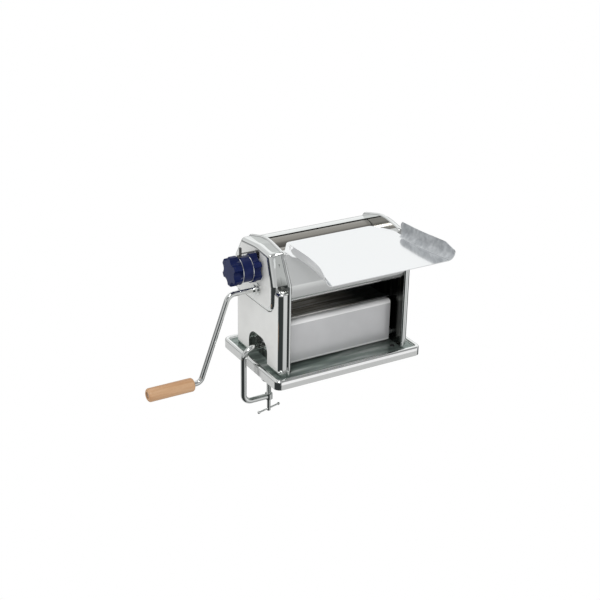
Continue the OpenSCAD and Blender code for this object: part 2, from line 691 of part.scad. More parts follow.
// ---- Sliding carriage of the front roller ----
yoke_x = plane_a - roller_gear_w - 0.6;
yoke_t = 2;
yoke_stud = 5;
cam_pin_r = 2.5;
groove_min = 8;
module block(x) {
    z0 = roller_z - block_h / 2;
    color(SATIN) difference() {
        translate([x, block_front, z0]) cube([frame_t, block_rear - block_front, block_h]);
        bar_x(x - 1, front_c[0], front_c[1], 2 * bush_r, frame_t + 2);
        bar_x(x - 1, tie_bar_y, roller_z, tie_bar_d, frame_t + 2);
    }
}
module left_block() {
    block(seam_l);
}
module right_block() {
    block(face_r);
}
module front_bushes() {
    color(BRONZE) for (x = [seam_l, face_r])
        tube_x(x, front_c[0], front_c[1], 2 * bush_r, journal_d + 2 * run_fit, frame_t);
}
module tie_bar() {
    color(SATIN) {
        bar_x(seam_l, tie_bar_y, roller_z, tie_bar_d, inner_w + 2 * frame_t);
        bar_x(yoke_x, tie_bar_y, roller_z, yoke_stud, seam_l - yoke_x);
    }
}
// Arm that passes round the front roller's gear and carries the cam's follower pin
module cam_yoke() {
    h = 13;
    w = 6.6;
    color(SATIN) {
        difference() {
            translate([yoke_x, tie_bar_y - w / 2, roller_z - h / 2]) cube([seam_l - yoke_x, w, h]);
            bar_x(yoke_x - 1, tie_bar_y, roller_z, yoke_stud, seam_l - yoke_x + 2);
        }
        difference() {
            translate([yoke_x - yoke_t, tie_bar_y - w / 2, roller_z - h / 2])
                cube([yoke_t, front_c[0] - groove_min - tie_bar_y + w / 2, h]);
            bar_x(yoke_x - yoke_t - 1, front_c[0] - groove_min, roller_z, 2 * cam_pin_r, yoke_t + 2);
        }
        translate([yoke_x - yoke_t, front_c[0] - groove_min, roller_z - h / 2]) cube([yoke_t, 3.2, h]);
        bar_x(cam_x - 2.2, front_c[0] - groove_min, roller_z, 2 * cam_pin_r, yoke_x - cam_x + 2.2);
    }
}
module front_scraper() {
    a = 215;
    touch = [front_c[0] + (roller_d / 2 + clear) * cos(a), front_c[1] + (roller_d / 2 + clear) * sin(a)];
    l = inner_w - 2;
    color(STEEL) {
        tube_x(face_l + 1, tie_bar_y, roller_z, tie_bar_d + 2.4, tie_bar_d, l);
        translate([face_l + 1, 0, 0]) side(0) linear_extrude(l)
            polygon(sheet_outline([[tie_bar_y - 3.2, roller_z - 4], [touch[0] - 1, touch[1] - 0.6]], 1));
    }
}

// ---- Rollers and their gears ----
gear_seat_d = 12;
module roller_shaft(c, tail) {
    x0 = body_x - roller_l / 2;
    color(STEEL) {
        translate([x0, c[0], c[1]]) rotate([0, 90, 0]) rotate_extrude()
            polygon([[0, 0], [roller_d / 2 - 1, 0], [roller_d / 2, 1], [roller_d / 2, roller_l - 1],
                     [roller_d / 2 - 1, roller_l], [0, roller_l]]);
        bar_x(x0 + roller_l, c[0], c[1], journal_d, seam_r + 0.5 - x0 - roller_l);
        bar_x(seam_l - 0.5, c[0], c[1], journal_d, x0 - seam_l + 0.5);
        bar_x(tail, c[0], c[1], gear_seat_d, seam_l - 0.5 - tail);
    }
}
module front_roller() {
    roller_shaft(front_c, plane_a - roller_gear_w);
}
module rear_roller() {
    roller_shaft(rear_c, plane_b - drive_gear_w - 0.8);
}
module gear_x(c, x, n, m, w, bore, phase, add, ded) {
    translate([x - w, c[0], c[1]]) rotate([90, 0, 90]) gear(n, m, w, bore, phase, add, ded);
}
module front_roller_gear() {
    color(DARK) gear_x(front_c, plane_a, roller_teeth, roller_module, roller_gear_w, gear_seat_d, 0,
                       1.25 * roller_module, 1.5 * roller_module);
}
module rear_roller_gear() {
    color(DARK) gear_x(rear_c, plane_a, roller_teeth, roller_module, roller_gear_w, gear_seat_d, rear_phase,
                       1.25 * roller_module, 1.5 * roller_module);
}
module drive_gear() {
    color(DARK) {
        gear_x(rear_c, plane_b, drive_teeth, drive_module, drive_gear_w, gear_seat_d, 0,
               drive_module, 1.25 * drive_module);
        tube_x(plane_b, rear_c[0], rear_c[1], 22, gear_seat_d, plane_a - roller_gear_w - plane_b);
    }
}
module idler_gear() {
    color(DARK) gear_x(idler_c, plane_b, idler_teeth, drive_module, drive_gear_w, idler_pin_d + 2 * run_fit,
                       idler_phase, drive_module, 1.25 * drive_module);
}

// ---- Crank ----
collar_x = cover_l - 5;
collar_l = 3.5;
module crank_shaft() {
    color(STEEL) {
        bar_x(collar_x - collar_l / 2, crank_c[0], crank_c[1], crank_d,
              face_l - collar_x + collar_l / 2 + 1.5);
        bar_x(plane_b, crank_c[0], crank_c[1], crank_d + 4, seam_l - 0.3 - plane_b);
    }
}
module crank_pinion() {
    color(DARK) gear_x(crank_c, plane_b, pinion_teeth, drive_module, drive_gear_w, crank_d,
                       pinion_phase, drive_module, 1.25 * drive_module);
}
module crank_collar() {
    color(STEEL) tube_x(collar_x - collar_l, crank_c[0], crank_c[1], crank_d + 8, crank_d, collar_l);
}
crank_low = [collar_x - collar_l - crank_stub - crank_lean, crank_z - crank_radius];
grip_x = crank_low[0] - 13;
grip_pin_d = 7;
module crank_arm() {
    color(STEEL) {
        upright(crank_c[0]) bent_rod([[collar_x - collar_l / 2, crank_z],
                                      [collar_x - collar_l - crank_stub, crank_z],
                                      crank_low, [grip_x + clear, crank_low[1]]],
                                     crank_d, [0, 16, 12, 0]);
        bar_x(grip_x - handle_l + 4, crank_c[0], crank_low[1], grip_pin_d, handle_l - 4 + clear + 2);
    }
}
module handle_grip() {
    r = handle_d / 2;
    rr = 4.5;
    color(WOOD) translate([grip_x - handle_l, crank_c[0], crank_low[1]]) rotate([0, 90, 0]) difference() {
        rotate_extrude() union() {
            translate([0, rr]) square([r, handle_l - 2 * rr]);
            square([r - rr, handle_l]);
            translate([r - rr, rr]) circle(rr);
            translate([r - rr, handle_l - rr]) circle(rr);
        }
        translate([0, 0, -1]) cylinder(d = grip_pin_d + 4 * run_fit, h = handle_l + 2);
        translate([0, 0, -1]) cylinder(d = 12, h = 5);
    }
}
module handle_rivet() {
    color(STEEL) {
        bar_x(grip_x - handle_l + 2, crank_c[0], crank_low[1], 10.5, 1.7);
        tube_x(grip_x - handle_l + 3.6, crank_c[0], crank_low[1], grip_pin_d, grip_pin_d - 4, 0.4);
    }
}

// ---- Thickness knob and its cam ----
cam_x = yoke_x - yoke_t - 0.4;
cam_t = 4.2;
cam_r = 16;
star_x = cover_l - knob_gap;
ring_in_x = star_x - knob_inner_l;
drum_x = ring_in_x - ring_t;
ring_out_x = drum_x - knob_drum_l;
grip_face_x = ring_out_x - ring_t;
knob_end_x = grip_face_x - knob_outer_l;
nut_x = ring_out_x + 3;
pocket_d = 26;
// The groove's centre line: the cam turns by turn while the follower stays at -Y
function groove(turn) = (groove_min + gap_travel * turn / knob_turn) * [cos(180 - turn), sin(180 - turn)];
module cam_spindle() {
    steps = 60;
    lead = 12;
    color(SATIN) translate([0, front_c[0], front_c[1]]) {
        difference() {
            translate([cam_x - cam_t, 0, 0]) rotate([0, 90, 0]) cylinder(r = cam_r, h = cam_t);
            translate([cam_x - 2.7, 0, 0]) rotate([90, 0, 90]) linear_extrude(4) union() {
                w = cam_pin_r + slide_fit;
                mid = [for (i = [-1:steps + 1]) groove(-lead / 3 + (knob_turn + lead * 2 / 3) * i / steps)];
                dir = [for (i = [0:steps + 2]) unit(mid[min(i + 1, steps + 2)] - mid[max(i - 1, 0)])];
                polygon(concat([for (i = [0:steps + 2]) mid[i] + left_of(dir[i]) * w],
                               [for (i = [steps + 2:-1:0]) mid[i] - left_of(dir[i]) * w]));
                translate(mid[0]) circle(w);
                translate(mid[steps + 2]) circle(w);
            }
        }
        translate([nut_x - 6, 0, 0]) rotate([0, 90, 0])
            cylinder(d = spindle_d, h = cam_x - cam_t - nut_x + 6);
    }
}
module spindle_nut() {
    color(SATIN) tube_x(nut_x - 4, front_c[0], front_c[1], 18, spindle_d, 4);
}
// A stack of disc springs that pushes the knob towards the gear cover
module knob_spring() {
    discs = 5;
    leaf = 0.6;
    span = ring_in_x - knob_pull - clear - nut_x;
    fold = [for (i = [0:discs])
        [spindle_d / 2 + (i % 2 == 0 ? 1.9 : 5.6), leaf + i * (span - 2 * leaf) / discs]];
    color(SATIN) translate([nut_x, front_c[0], front_c[1]]) rotate([0, 90, 0]) rotate_extrude()
        polygon(sheet_outline([for (i = [discs:-1:0]) fold[i]], leaf));
}
module star_2d() {
    scallop = 9.5;
    difference() {
        circle(d = knob_d);
        for (i = [0:knob_lobes - 1]) rotate(i * 360 / knob_lobes)
            translate([knob_d / 2 + 2, 0]) circle(r = scallop);
    }
}
module knob_lobed(x, l, edge) {
    r = knob_d / 2;
    translate([x - l, front_c[0], front_c[1]]) rotate([90, 0, 90]) intersection() {
        linear_extrude(l) star_2d();
        rotate_extrude() union() {
            square([r - edge, l]);
            translate([0, edge]) square([r, l - 2 * edge]);
            translate([r - edge, edge]) circle(edge);
            translate([r - edge, l - edge]) circle(edge);
        }
    }
}
module knob_grip() {
    color(BLUE) difference() {
        knob_lobed(grip_face_x, knob_outer_l, 2.5);
        bar_x(grip_face_x - 9, front_c[0], front_c[1], pocket_d, 10);
    }
}
module knob_drum() {
    color(BLUE) tube_x(ring_out_x, front_c[0], front_c[1], drum_d, pocket_d, knob_drum_l);
}
module knob_rings() {
    color(STEEL) {
        tube_x(grip_face_x, front_c[0], front_c[1], knob_d - 2.5, pocket_d, ring_t);
        tube_x(ring_in_x - ring_t, front_c[0], front_c[1], drum_d + 2, spindle_d + 2, ring_t);
    }
}
module knob_star() {
    slot = index_d + 0.8;
    color(BLUE) difference() {
        knob_lobed(star_x, knob_inner_l, 2.5);
        bar_x(ring_in_x - 1, front_c[0], front_c[1], spindle_d + 2 * run_fit, knob_inner_l + 2);
        translate([star_x - knob_pull - 0.2, front_c[0], front_c[1]]) rotate([90, 0, 90])
            rotate([0, 0, -90 - knob_turn]) {
                rotate_extrude(angle = knob_turn)
                    translate([index_r - slot / 2, 0]) square([slot, knob_pull + 1]);
                for (a = [0, knob_turn]) rotate([0, 0, a]) translate([index_r, 0, 0])
                    cylinder(d = slot + 0.4, h = knob_pull + 1);
            }
    }
}

// ---- Table clamp ----
leg_x = cover_l - clamp_out;
screw_x = leg_x + clamp_reach;
eye_h = 10;
eye_d = screw_d + 5;
pad_top = -24;
pad_h = 6;
bar_z = -clamp_drop - 24;
bar_d = 3;
bar_angle = 15;
module clamp_rod() {
    inner_end = seam_l + socket_l - 2;
    color(STEEL) difference() {
        union() {
            upright(niche_y) bent_rod([[inner_end, clamp_z], [leg_x, clamp_z],
                                       [leg_x, -clamp_drop], [screw_x, -clamp_drop]],
                                      clamp_d, [0, 20, 14, 0]);
            translate([screw_x, niche_y, -clamp_drop - eye_h / 2]) cylinder(d = eye_d, h = eye_h);
        }
        translate([screw_x, niche_y, -clamp_drop - eye_h]) cylinder(d = screw_d + 2 * run_fit, h = 2 * eye_h);
    }
}
module clamp_screw() {
    low = bar_z - 4.5;
    top = pad_top - pad_h + 3;
    thread_low = -clamp_drop - eye_h / 2 - 0.5;
    groove_d = 0.5;
    color(STEEL) translate([screw_x, niche_y, 0]) difference() {
        rotate_extrude() polygon(concat(
            [[0, low], [2.2, low], [3.2, low + 1]], [[3.2, thread_low], [screw_d / 2 - groove_d, thread_low]],
            [for (z = [thread_low:screw_pitch:top - 4 - screw_pitch]) each
                [[screw_d / 2, z + screw_pitch * 0.3], [screw_d / 2, z + screw_pitch * 0.7],
                 [screw_d / 2 - groove_d, z + screw_pitch]]],
            [[2.5, top - 4], [2.5, top], [0, top]]));
        translate([0, 0, bar_z]) rotate([0, 0, bar_angle]) rotate([0, 90, 0])
            cylinder(d = bar_d + 2 * run_fit, h = 20, center = true);
    }
}
module clamp_bar() {
    color(STEEL) translate([screw_x, niche_y, bar_z]) rotate([0, 0, bar_angle]) rotate([0, 90, 0]) {
        cylinder(d = bar_d, h = bar_l, center = true);
        for (s = [-1, 1]) translate([0, 0, s * bar_l / 2]) sphere(d = 5.4, $fn = 32);
    }
}
module clamp_pad() {
    color(STEEL) translate([screw_x, niche_y, 0]) difference() {
        union() {
            translate([0, 0, pad_top - 2.5]) cylinder(d = 26, h = 2.5);
            translate([0, 0, pad_top - pad_h]) cylinder(d = 12, h = pad_h - 2.5);
        }
        translate([0, 0, pad_top - pad_h - 1]) cylinder(r = 2.5 + run_fit, h = 4.4);
    }
}

// ---- Feed tray ----
wing_start = -82;
wing_bend = 13;
// Half width of the tray at the foot of its wings, which flare out towards the front
function tray_half(y) = tray_mid_w / 2
    + (tray_front_w - tray_mid_w) / 2 * pow(max(wing_start - y, 0) / (wing_start - tray_front), 2.5);
module tray_plan() {
    a = tray_rear_w / 2;
    b = tray_mid_w / 2;
    c = b - wing_bend + 2;
    right = [[c, wing_start - 8, 1], [c, wing_start - 3, 2], [b, wing_start + 8, 6],
             [b, -48, 8], [a, tray_rear, 10]];
    left = [for (i = [len(right) - 1:-1:0]) [-right[i][0], right[i][1], right[i][2]]];
    polygon(outline(concat(right, left)));
}
module feed_tray() {
    half = tray_mid_w / 2;
    top = half + wing_h * tan(wing_lean) - 1;
    section = sheet_outline(path_points([[-top, wing_h, 0], [-half, 0, wing_bend],
                                         [half, 0, wing_bend], [top, wing_h, 0]], 8), tray_t);
    flare_start = wing_start - 20;
    flares = 7;
    stations = [wing_start + 22, flare_start,
                for (k = [1:flares]) flare_start + (tray_front - flare_start) * k / flares];
    profile = [[tray_front - 5, -1, 0.4], [wing_start, -1, 0.4], [wing_start + 20, wing_h - 2, 5],
               [tray_front + 24, wing_h + 1, 20], [tray_front - 0.1, wing_h - 9, 8], [tray_front - 1, 3, 2]];
    color(STEEL) translate([0, 0, tray_z]) {
        linear_extrude(tray_t) tray_plan();
        intersection() {
            loft([for (y = stations)
                [for (p = section) [p[0] + sign(p[0]) * (tray_half(y) - half), y, p[1]]]]);
            side(-200) linear_extrude(400) polygon(outline(profile));
        }
    }
}

base_plate();
rubber_feet();
left_frame();
right_frame();
left_cover();
gear_cover();
right_cover();
front_guard();
rear_guard();
front_panel();
exit_slide();
tie_rods();
tie_bolts();
base_screws();
cover_screws();
rear_bushes();
rear_scraper();
crank_bush();
knob_bush();
idler_pin();
index_pin();
dial_pointer();
clamp_socket();
left_block();
right_block();
front_bushes();
tie_bar();
cam_yoke();
front_scraper();
front_roller();
front_roller_gear();
rear_roller();
rear_roller_gear();
drive_gear();
idler_gear();
crank_shaft();
crank_pinion();
crank_collar();
crank_arm();
handle_grip();
handle_rivet();
cam_spindle();
spindle_nut();
knob_spring();
knob_grip();
knob_rings();
knob_drum();
knob_star();
clamp_rod();
clamp_screw();
clamp_bar();
clamp_pad();
feed_tray();
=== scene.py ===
# %% [markdown]
# # A hand-cranked pasta machine
# Two steel rollers press dough into a sheet. A crank with a wooden handle turns them, a knob
# sets the gap between them, a clamp holds the machine to a table, and a tray holds the dough.
#
# The construction model already carries the form of every part, in metres: X to the right, Y to
# the back, Z up, with the origin under the middle of the base. So this script models very
# little. It loads the parts, gives each one a finish and sets up a studio around them.

# %% Load the construction model
import json
import math

import bmesh
import bpy
from mathutils import Matrix, Vector


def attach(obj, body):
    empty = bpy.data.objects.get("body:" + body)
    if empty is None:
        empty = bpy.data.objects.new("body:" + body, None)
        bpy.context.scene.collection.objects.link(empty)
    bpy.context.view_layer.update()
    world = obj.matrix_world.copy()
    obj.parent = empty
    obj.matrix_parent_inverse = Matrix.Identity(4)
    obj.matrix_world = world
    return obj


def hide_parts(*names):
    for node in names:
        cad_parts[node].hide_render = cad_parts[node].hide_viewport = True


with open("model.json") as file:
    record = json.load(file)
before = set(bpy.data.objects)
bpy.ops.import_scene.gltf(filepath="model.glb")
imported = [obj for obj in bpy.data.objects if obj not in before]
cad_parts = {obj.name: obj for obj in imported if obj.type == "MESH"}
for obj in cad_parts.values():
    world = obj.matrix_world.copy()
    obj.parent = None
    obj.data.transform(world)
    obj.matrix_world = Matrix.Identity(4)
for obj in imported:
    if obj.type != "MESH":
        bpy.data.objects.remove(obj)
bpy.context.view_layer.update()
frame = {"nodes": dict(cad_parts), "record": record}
nodes = frame["nodes"]
slots = {part["node"]: part["material_slot"] for part in frame["record"]["subparts"]}
print(len(nodes), "construction parts loaded")

# %% [markdown]
# ## Finishes
# A finish is a small network of shader nodes. It could be a painted picture instead, but then
# every part would have to be unwrapped, and the picture would blur close up. Nodes work from
# the surface's own place and direction, so they need neither. Each helper below adds one kind
# of node and hands back its output, so that a finish reads like a recipe.

# %% Start a material and feed its sockets
def new_material(name):
    mat = bpy.data.materials.new(name)
    mat.use_nodes = True
    return mat, mat.node_tree, mat.node_tree.nodes["Principled BSDF"]


def feed(tree, value, socket):
    """Give a socket a number, a colour or the output of another node."""
    if isinstance(value, (int, float)):
        socket.default_value = value
    elif isinstance(value, tuple):
        socket.default_value = (*value, 1)
    else:
        tree.links.new(value, socket)


print("material helpers ready")


# %% Sums and ranges
def calc(tree, operation, a, b=0.0, clamp=False):
    """One step of arithmetic on two values, each a number or a socket."""
    node = tree.nodes.new("ShaderNodeMath")
    node.operation = operation
    node.use_clamp = clamp
    feed(tree, a, node.inputs[0])
    feed(tree, b, node.inputs[1])
    return node.outputs["Value"]


def between(tree, value, low, high, start=0.0, end=1.0):
    """Turn a value that runs from low to high into one that runs from start to end."""
    node = tree.nodes.new("ShaderNodeMapRange")
    feed(tree, value, node.inputs["Value"])
    feed(tree, low, node.inputs["From Min"])
    feed(tree, high, node.inputs["From Max"])
    feed(tree, start, node.inputs["To Min"])
    feed(tree, end, node.inputs["To Max"])
    return node.outputs["Result"]


print("sums and ranges ready")


# %% Where the surface lies and which way it faces
def surface(tree, what, axis):
    """One part of the surface's Position or of its Normal, along an axis."""
    geometry = tree.nodes.new("ShaderNodeNewGeometry")
    parts = tree.nodes.new("ShaderNodeSeparateXYZ")
    feed(tree, geometry.outputs[what], parts.inputs["Vector"])
    return parts.outputs[axis]


def facing(tree, axis, away, straight):
    """0 to 1 as the cosine of the angle to the axis, either way, goes from away to straight."""
    cosine = calc(tree, "ABSOLUTE", surface(tree, "Normal", axis))
    return between(tree, cosine, away, straight)


print("place and direction ready")


# %% Colours and patterns
def mixed(tree, factor, low, high):
    """A colour between two, each a plain colour or a socket."""
    node = tree.nodes.new("ShaderNodeMix")
    node.data_type = "RGBA"
    feed(tree, factor, node.inputs["Factor"])
    feed(tree, low, node.inputs["A"])
    feed(tree, high, node.inputs["B"])
    return node.outputs["Result"]


def ramp(tree, value, stops):
    """A colour for each level of a value. Each stop is a level and its colour."""
    node = tree.nodes.new("ShaderNodeValToRGB")
    elements = node.color_ramp.elements
    while len(elements) < len(stops):
        elements.new(0.5)
    for element, (level, colour) in zip(elements, stops):
        element.position = level
        element.color = (*colour, 1)
    feed(tree, value, node.inputs["Fac"])
    return node.outputs["Color"]


def noise(tree, scale, stretch=(1, 1, 1), detail=3):
    """Soft spots, scale of them to a metre. A stretch under 1 draws them out along its axis."""
    coords = tree.nodes.new("ShaderNodeTexCoord")
    mapping = tree.nodes.new("ShaderNodeMapping")
    mapping.inputs["Scale"].default_value = stretch
    texture = tree.nodes.new("ShaderNodeTexNoise")
    feed(tree, coords.outputs["Object"], mapping.inputs["Vector"])
    feed(tree, mapping.outputs["Vector"], texture.inputs["Vector"])
    feed(tree, scale, texture.inputs["Scale"])
    feed(tree, detail, texture.inputs["Detail"])
    return texture.outputs["Fac"]


print("colours and patterns ready")

# %% [markdown]
# ### Plain metals
# The shell is plated mirror bright, the gears are cut steel, the bushes are bronze. One colour
# and one roughness would look like plastic foil, because real metal has been wiped and handled.
# So a noise moves the roughness a little from place to place. CHROME is the plating's colour,
# and BUFFED is its roughness and how metallic it is, in that order.

# %% Metals
def metal(name, colour, rough, spread=0.03, metallic=1.0):
    mat, tree, shader = new_material(name)
    wiped = between(tree, noise(tree, 60), 0.35, 0.65, rough - spread, rough + spread)
    feed(tree, colour, shader.inputs["Base Color"])
    feed(tree, metallic, shader.inputs["Metallic"])
    feed(tree, wiped, shader.inputs["Roughness"])
    return mat


CHROME, BUFFED = (0.90, 0.91, 0.90), (0.06, 1.0)
finishes = {
    "bright_steel": metal("bright_steel", CHROME, BUFFED[0], 0.025),
    "roller_steel": metal("roller_steel", (0.30, 0.285, 0.26), 0.20),
    "plain_steel": metal("plain_steel", (0.62, 0.63, 0.64), 0.32, 0.05),
    "gear_steel": metal("gear_steel", (0.42, 0.43, 0.45), 0.38, 0.05),
    "plated_rod": metal("plated_rod", (0.80, 0.81, 0.80), 0.12),
    "bronze": metal("bronze", (0.66, 0.46, 0.24), 0.35, 0.05),
}
print("metals:", ", ".join(finishes))

# %% [markdown]
# ### Front guard and pointer
# The guard is a bent sheet over the front roller. As a pure mirror it would turn black wherever
# it faces a dark part of the studio, so about a quarter of it is plain grey. The pointer over
# the knob's drum is a small dark strip.

# %% Guard and pointer
guard_steel = metal("guard_steel", (0.86, 0.865, 0.86), 0.10, metallic=0.74)
pointer_steel = metal("pointer_steel", (0.10, 0.10, 0.10), 0.30)
print("guard and pointer:", guard_steel.name, pointer_steel.name)

# %% [markdown]
# ### Covers and front panel
# The big pressed parts aren't the same all over. Their flat faces are satin. The covers' rounded
# edges were buffed bright, while the panel's rounded edges are painted plain white and barely
# metallic, a painted highlight along its top and bottom. Two materials on one part would need
# its faces to be picked by hand.
# Looking at the surface's direction finds the flat faces by itself, on every part alike. FLAT
# holds two cosines: below the first a face counts as edge, above the second as flat.

# %% One finish on the flat faces and another on the edges
FLAT = (0.985, 0.999)


def polish(tree, shader, dull, bright_pair, dull_pair):
    """Roughness and metallic go from the bright pair to the dull pair as dull goes to 1."""
    for name, bright, worn in zip(("Roughness", "Metallic"), bright_pair, dull_pair):
        feed(tree, between(tree, dull, 0, 1, bright, worn), shader.inputs[name])


def two_finishes(name, axis, face, face_pair, edge, edge_pair):
    mat, tree, shader = new_material(name)
    flat = facing(tree, axis, *FLAT)
    darker = tuple(0.95 * level for level in face)
    wiped = ramp(tree, noise(tree, 40), [(0.3, darker), (0.7, face)])
    feed(tree, mixed(tree, flat, edge, wiped), shader.inputs["Base Color"])
    polish(tree, shader, flat, edge_pair, face_pair)
    return mat


cover_steel = two_finishes("cover_steel", "X", (0.86, 0.865, 0.845), (0.34, 0.12), CHROME, BUFFED)
# The panel's edge colour is plain white at low metallic: a painted highlight along its top and bottom
# rounding.
panel_steel = two_finishes("panel_steel", "Y", (0.70, 0.70, 0.71), (0.30, 0.40), (1, 1, 1), (0.25, 0.05))
print("covers and panel:", cover_steel.name, panel_steel.name)

# %% [markdown]
# ### Base
# The base is one pressed sheet. Its sunk deck under the machine is painted dark and streaked, a
# painted shade, its outer sides are satin, and the top of its front and back is painted plain
# white, a painted highlight along the bead. The deck is found by its height, and the sides by
# their direction.

# %% Finish of the base
RIM_Z, DECK_Z = 0.0165, 0.0150
UNDER_BEAD_Z, BEAD_Z = 0.0100, 0.0115
# Dark streaks for the sunk deck under the machine: painted shade.
DECK_PAINTED_SHADE = [
    (0.35, (0.16, 0.20, 0.185)),
    (0.55, (0.30, 0.36, 0.33)),
    (0.68, (0.62, 0.66, 0.64)),
]


def base_finish():
    mat, tree, shader = new_material("base_steel")
    height = surface(tree, "Position", "Z")
    low = between(tree, height, RIM_Z, DECK_Z)
    deck = calc(tree, "MULTIPLY", low, facing(tree, "Z", 0.9, 0.98))
    long_sides = facing(tree, "Y", 0.93, 0.99)
    sides = calc(tree, "ADD", long_sides, facing(tree, "X", *FLAT), clamp=True)
    # The upper front and back faces of the base are painted plain white and non-metallic: a painted
    # highlight along the bead.
    painted_bead_highlight = calc(tree, "MULTIPLY", between(tree, height, UNDER_BEAD_Z, BEAD_Z), long_sides)
    painted_deck_shade = ramp(tree, noise(tree, 60, (0.15, 1, 1)), DECK_PAINTED_SHADE)
    colour = mixed(tree, deck, CHROME, painted_deck_shade)
    colour = mixed(tree, sides, colour, (0.72, 0.725, 0.715))
    colour = mixed(tree, painted_bead_highlight, colour, (1, 1, 1))
    marked = calc(tree, "ADD", calc(tree, "ADD", sides, deck), painted_bead_highlight)
    dull = calc(tree, "MULTIPLY", marked, 0.5, clamp=True)
    feed(tree, colour, shader.inputs["Base Color"])
    polish(tree, shader, dull, BUFFED, (0.22, 0.0))
    return mat


base_steel = base_finish()
print("base:", base_steel.name)

# %% [markdown]
# ### Feed tray
# The tray's floor is bright. Its two wings are painted a mottled grey on the inside, a painted
# reflection of the darker studio, and satin on the outside. A wing's inside faces the middle of
# the machine, so the direction along X, turned over on the left half, tells the inside from the
# outside.

# %% Finish of the tray
# Mottled grey for the wings' insides: a painted reflection.
WING_PAINTED_REFLECTION = [(0.3, (0.40, 0.42, 0.44)), (0.7, (0.64, 0.66, 0.68))]


def tray_finish():
    mat, tree, shader = new_material("tray_steel")
    side = calc(tree, "SIGN", surface(tree, "Position", "X"))
    outward = calc(tree, "MULTIPLY", surface(tree, "Normal", "X"), side)
    inside = between(tree, outward, -0.06, -0.30)
    outside = between(tree, outward, 0.3, 0.6)
    painted_reflection = ramp(tree, noise(tree, 120), WING_PAINTED_REFLECTION)
    feed(tree, mixed(tree, inside, (0.93, 0.935, 0.94), painted_reflection), shader.inputs["Base Color"])
    polish(tree, shader, calc(tree, "ADD", inside, outside), (0.12, 1.0), (0.30, 0.5))
    return mat


tray_steel = tray_finish()
print("tray:", tray_steel.name)

# %% [markdown]
# ### Side frames
# The frames are thick plates. Low down, where the shell hides them in the dark niches, their
# flat faces are painted dark with streaks that run up and down: painted shade. Higher up, and
# on their edges, they are bright.

# %% Finish of the frames
# Below these heights the frames' flat faces are painted dark: painted shade in the niches.
BRIGHT_Z, SHADED_Z = 0.185, 0.165
NICHE_PAINTED_SHADE = [(0.35, (0.05, 0.055, 0.05)), (0.6, (0.16, 0.165, 0.155)), (0.72, (0.5, 0.5, 0.48))]


def frame_finish():
    mat, tree, shader = new_material("frame_steel")
    low = between(tree, surface(tree, "Position", "Z"), BRIGHT_Z, SHADED_Z)
    shaded_face = calc(tree, "MULTIPLY", low, facing(tree, "X", *FLAT))
    # Dark streaks that run up and down: painted shade.
    rolled = ramp(tree, noise(tree, 110, (1, 1, 0.12)), NICHE_PAINTED_SHADE)
    feed(tree, mixed(tree, shaded_face, CHROME, rolled), shader.inputs["Base Color"])
    polish(tree, shader, shaded_face, BUFFED, (0.22, 1.0))
    return mat


frame_steel = frame_finish()
print("frames:", frame_steel.name)

# %% [markdown]
# ### Slide
# The sheet of dough comes out over the slide behind the front panel. The slide sits deep in the
# machine. It is painted with pale streaks along X, a painted light, and it is painted darker
# towards the right, by the way X grows, a painted shade.

# %% Finish of the slide
# Painted lighter at the left and painted darker towards the right: painted light and shade.
LIT_X, SHADED_X = -0.02, 0.07
SLIDE_PAINTED_LIGHT = [(0.38, (0.20, 0.18, 0.15)), (0.50, (0.60, 0.56, 0.49)), (0.58, (1, 0.99, 0.96))]


def slide_finish():
    mat, tree, shader = new_material("slide_steel")
    painted_shade_right = between(tree, surface(tree, "Position", "X"), LIT_X, SHADED_X)
    # Pale streaks along X: painted light.
    painted_light_streaks = ramp(tree, noise(tree, 120, (0.05, 1, 1), 4), SLIDE_PAINTED_LIGHT)
    feed(tree, mixed(tree, painted_shade_right, painted_light_streaks, (0.06, 0.065, 0.065)), shader.inputs["Base Color"])
    feed(tree, 0.25, shader.inputs["Metallic"])
    feed(tree, 0.28, shader.inputs["Roughness"])
    return mat


slide_steel = slide_finish()
print("slide:", slide_steel.name)

# %% [markdown]
# ### Knob, handle and feet
# The knob is moulded plastic in dark navy. The handle is beech, with long fine grain that runs
# along X, as the handle does. The feet are black rubber. Each is a noise between a darker and
# a lighter tone of its own colour, so one helper makes all three.

# %% Plastic, wood and rubber
NAVY = [(0.3, (0.003, 0.009, 0.060)), (0.7, (0.008, 0.016, 0.088))]
BEECH = [(0.3, (0.50, 0.26, 0.12)), (0.55, (0.62, 0.37, 0.20)), (0.75, (0.70, 0.46, 0.28))]
BLACK = [(0.3, (0.012, 0.012, 0.012)), (0.7, (0.025, 0.025, 0.025))]


def toned(name, tones, rough, shine, *pattern):
    mat, tree, shader = new_material(name)
    feed(tree, ramp(tree, noise(tree, *pattern), tones), shader.inputs["Base Color"])
    feed(tree, rough, shader.inputs["Roughness"])
    feed(tree, shine, shader.inputs["Specular IOR Level"])
    return mat


finishes["navy_plastic"] = toned("navy_plastic", NAVY, 0.30, 0.20, 90)
finishes["beech"] = toned("beech", BEECH, 0.42, 0.5, 160, (0.06, 1, 1), 5)
finishes["black_rubber"] = toned("black_rubber", BLACK, 0.8, 0.5, 400)
print(len(finishes), "finishes by slot")

# %% [markdown]
# ## Dressing the parts
# The record's material slot says what each part is made of, and the slot picks the finish. A
# few parts, most of them pressed ones that aren't the same all over, take their own instead.

# %% Parts with a finish of their own
special = {
    "left_cover": cover_steel, "gear_cover": cover_steel, "right_cover": cover_steel,
    "left_frame": frame_steel, "right_frame": frame_steel, "base_plate": base_steel,
    "front_panel": panel_steel, "front_guard": guard_steel, "exit_slide": slide_steel,
    "dial_pointer": pointer_steel,
}
print(len(special), "parts have a finish of their own")

